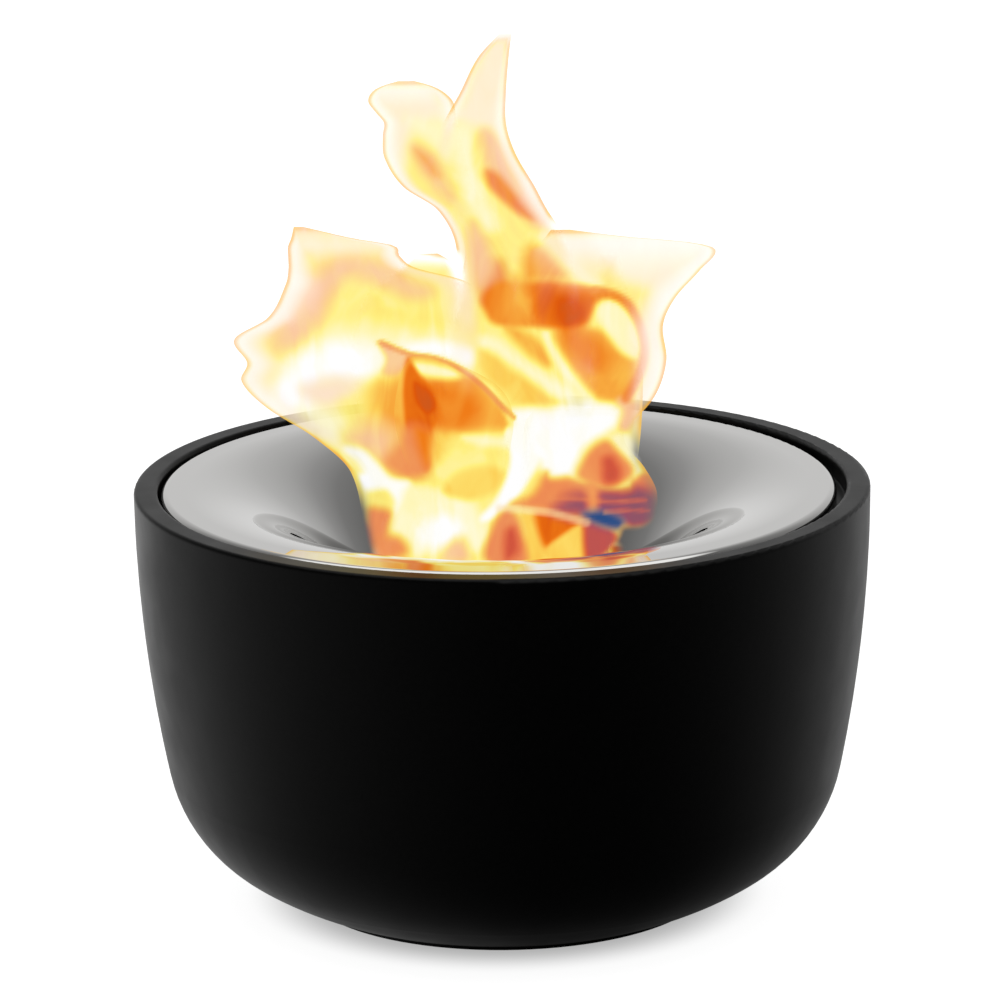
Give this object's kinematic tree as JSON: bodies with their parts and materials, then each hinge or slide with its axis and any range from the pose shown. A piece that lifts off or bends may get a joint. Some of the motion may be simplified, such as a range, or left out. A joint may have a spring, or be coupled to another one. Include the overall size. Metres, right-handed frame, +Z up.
{
  "type": "tabletop fireplace",
  "caption": "Round black glazed bowl with a polished funnel-shaped fire plate lying in its mouth and a lit fuel burner hanging in the throat.",
  "frame": {"origin": "on the table, under the middle of the bowl", "axes": "+Z up, +X to the viewer's right in the picture, -Y towards the viewer"},
  "size_m": [0.24, 0.24, 0.2839],
  "materials": {
    "glaze": "satin black glaze",
    "silicone": "matt black silicone",
    "polished_steel": "polished stainless steel",
    "steel": "stainless steel, heat-tinted",
    "fibre": "felted ceramic fibre",
    "flame": "burning vapour, glowing"
  },
  "bodies": {
    "bowl": {"bowl": "glaze", "foot_ring": "silicone", "seat_pad_1": "silicone", "seat_pad_2": "silicone", "seat_pad_3": "silicone"},
    "fire_plate": {"fire_plate": "polished_steel", "burner_seat": "steel"},
    "burner": {"burner_cup": "steel", "burner_cap": "steel", "burner_mesh": "steel", "wick_pad": "fibre", "flame": "flame"}
  },
  "joints": [
    {"name": "plate_lift", "type": "slide", "parent": "bowl", "child": "fire_plate", "axis": [0, 0, 1], "range_m": [0, 0.125]},
    {"name": "burner_lift", "type": "slide", "parent": "fire_plate", "child": "burner", "axis": [0, 0, 1], "range_m": [0, 0.115]}
  ]
}
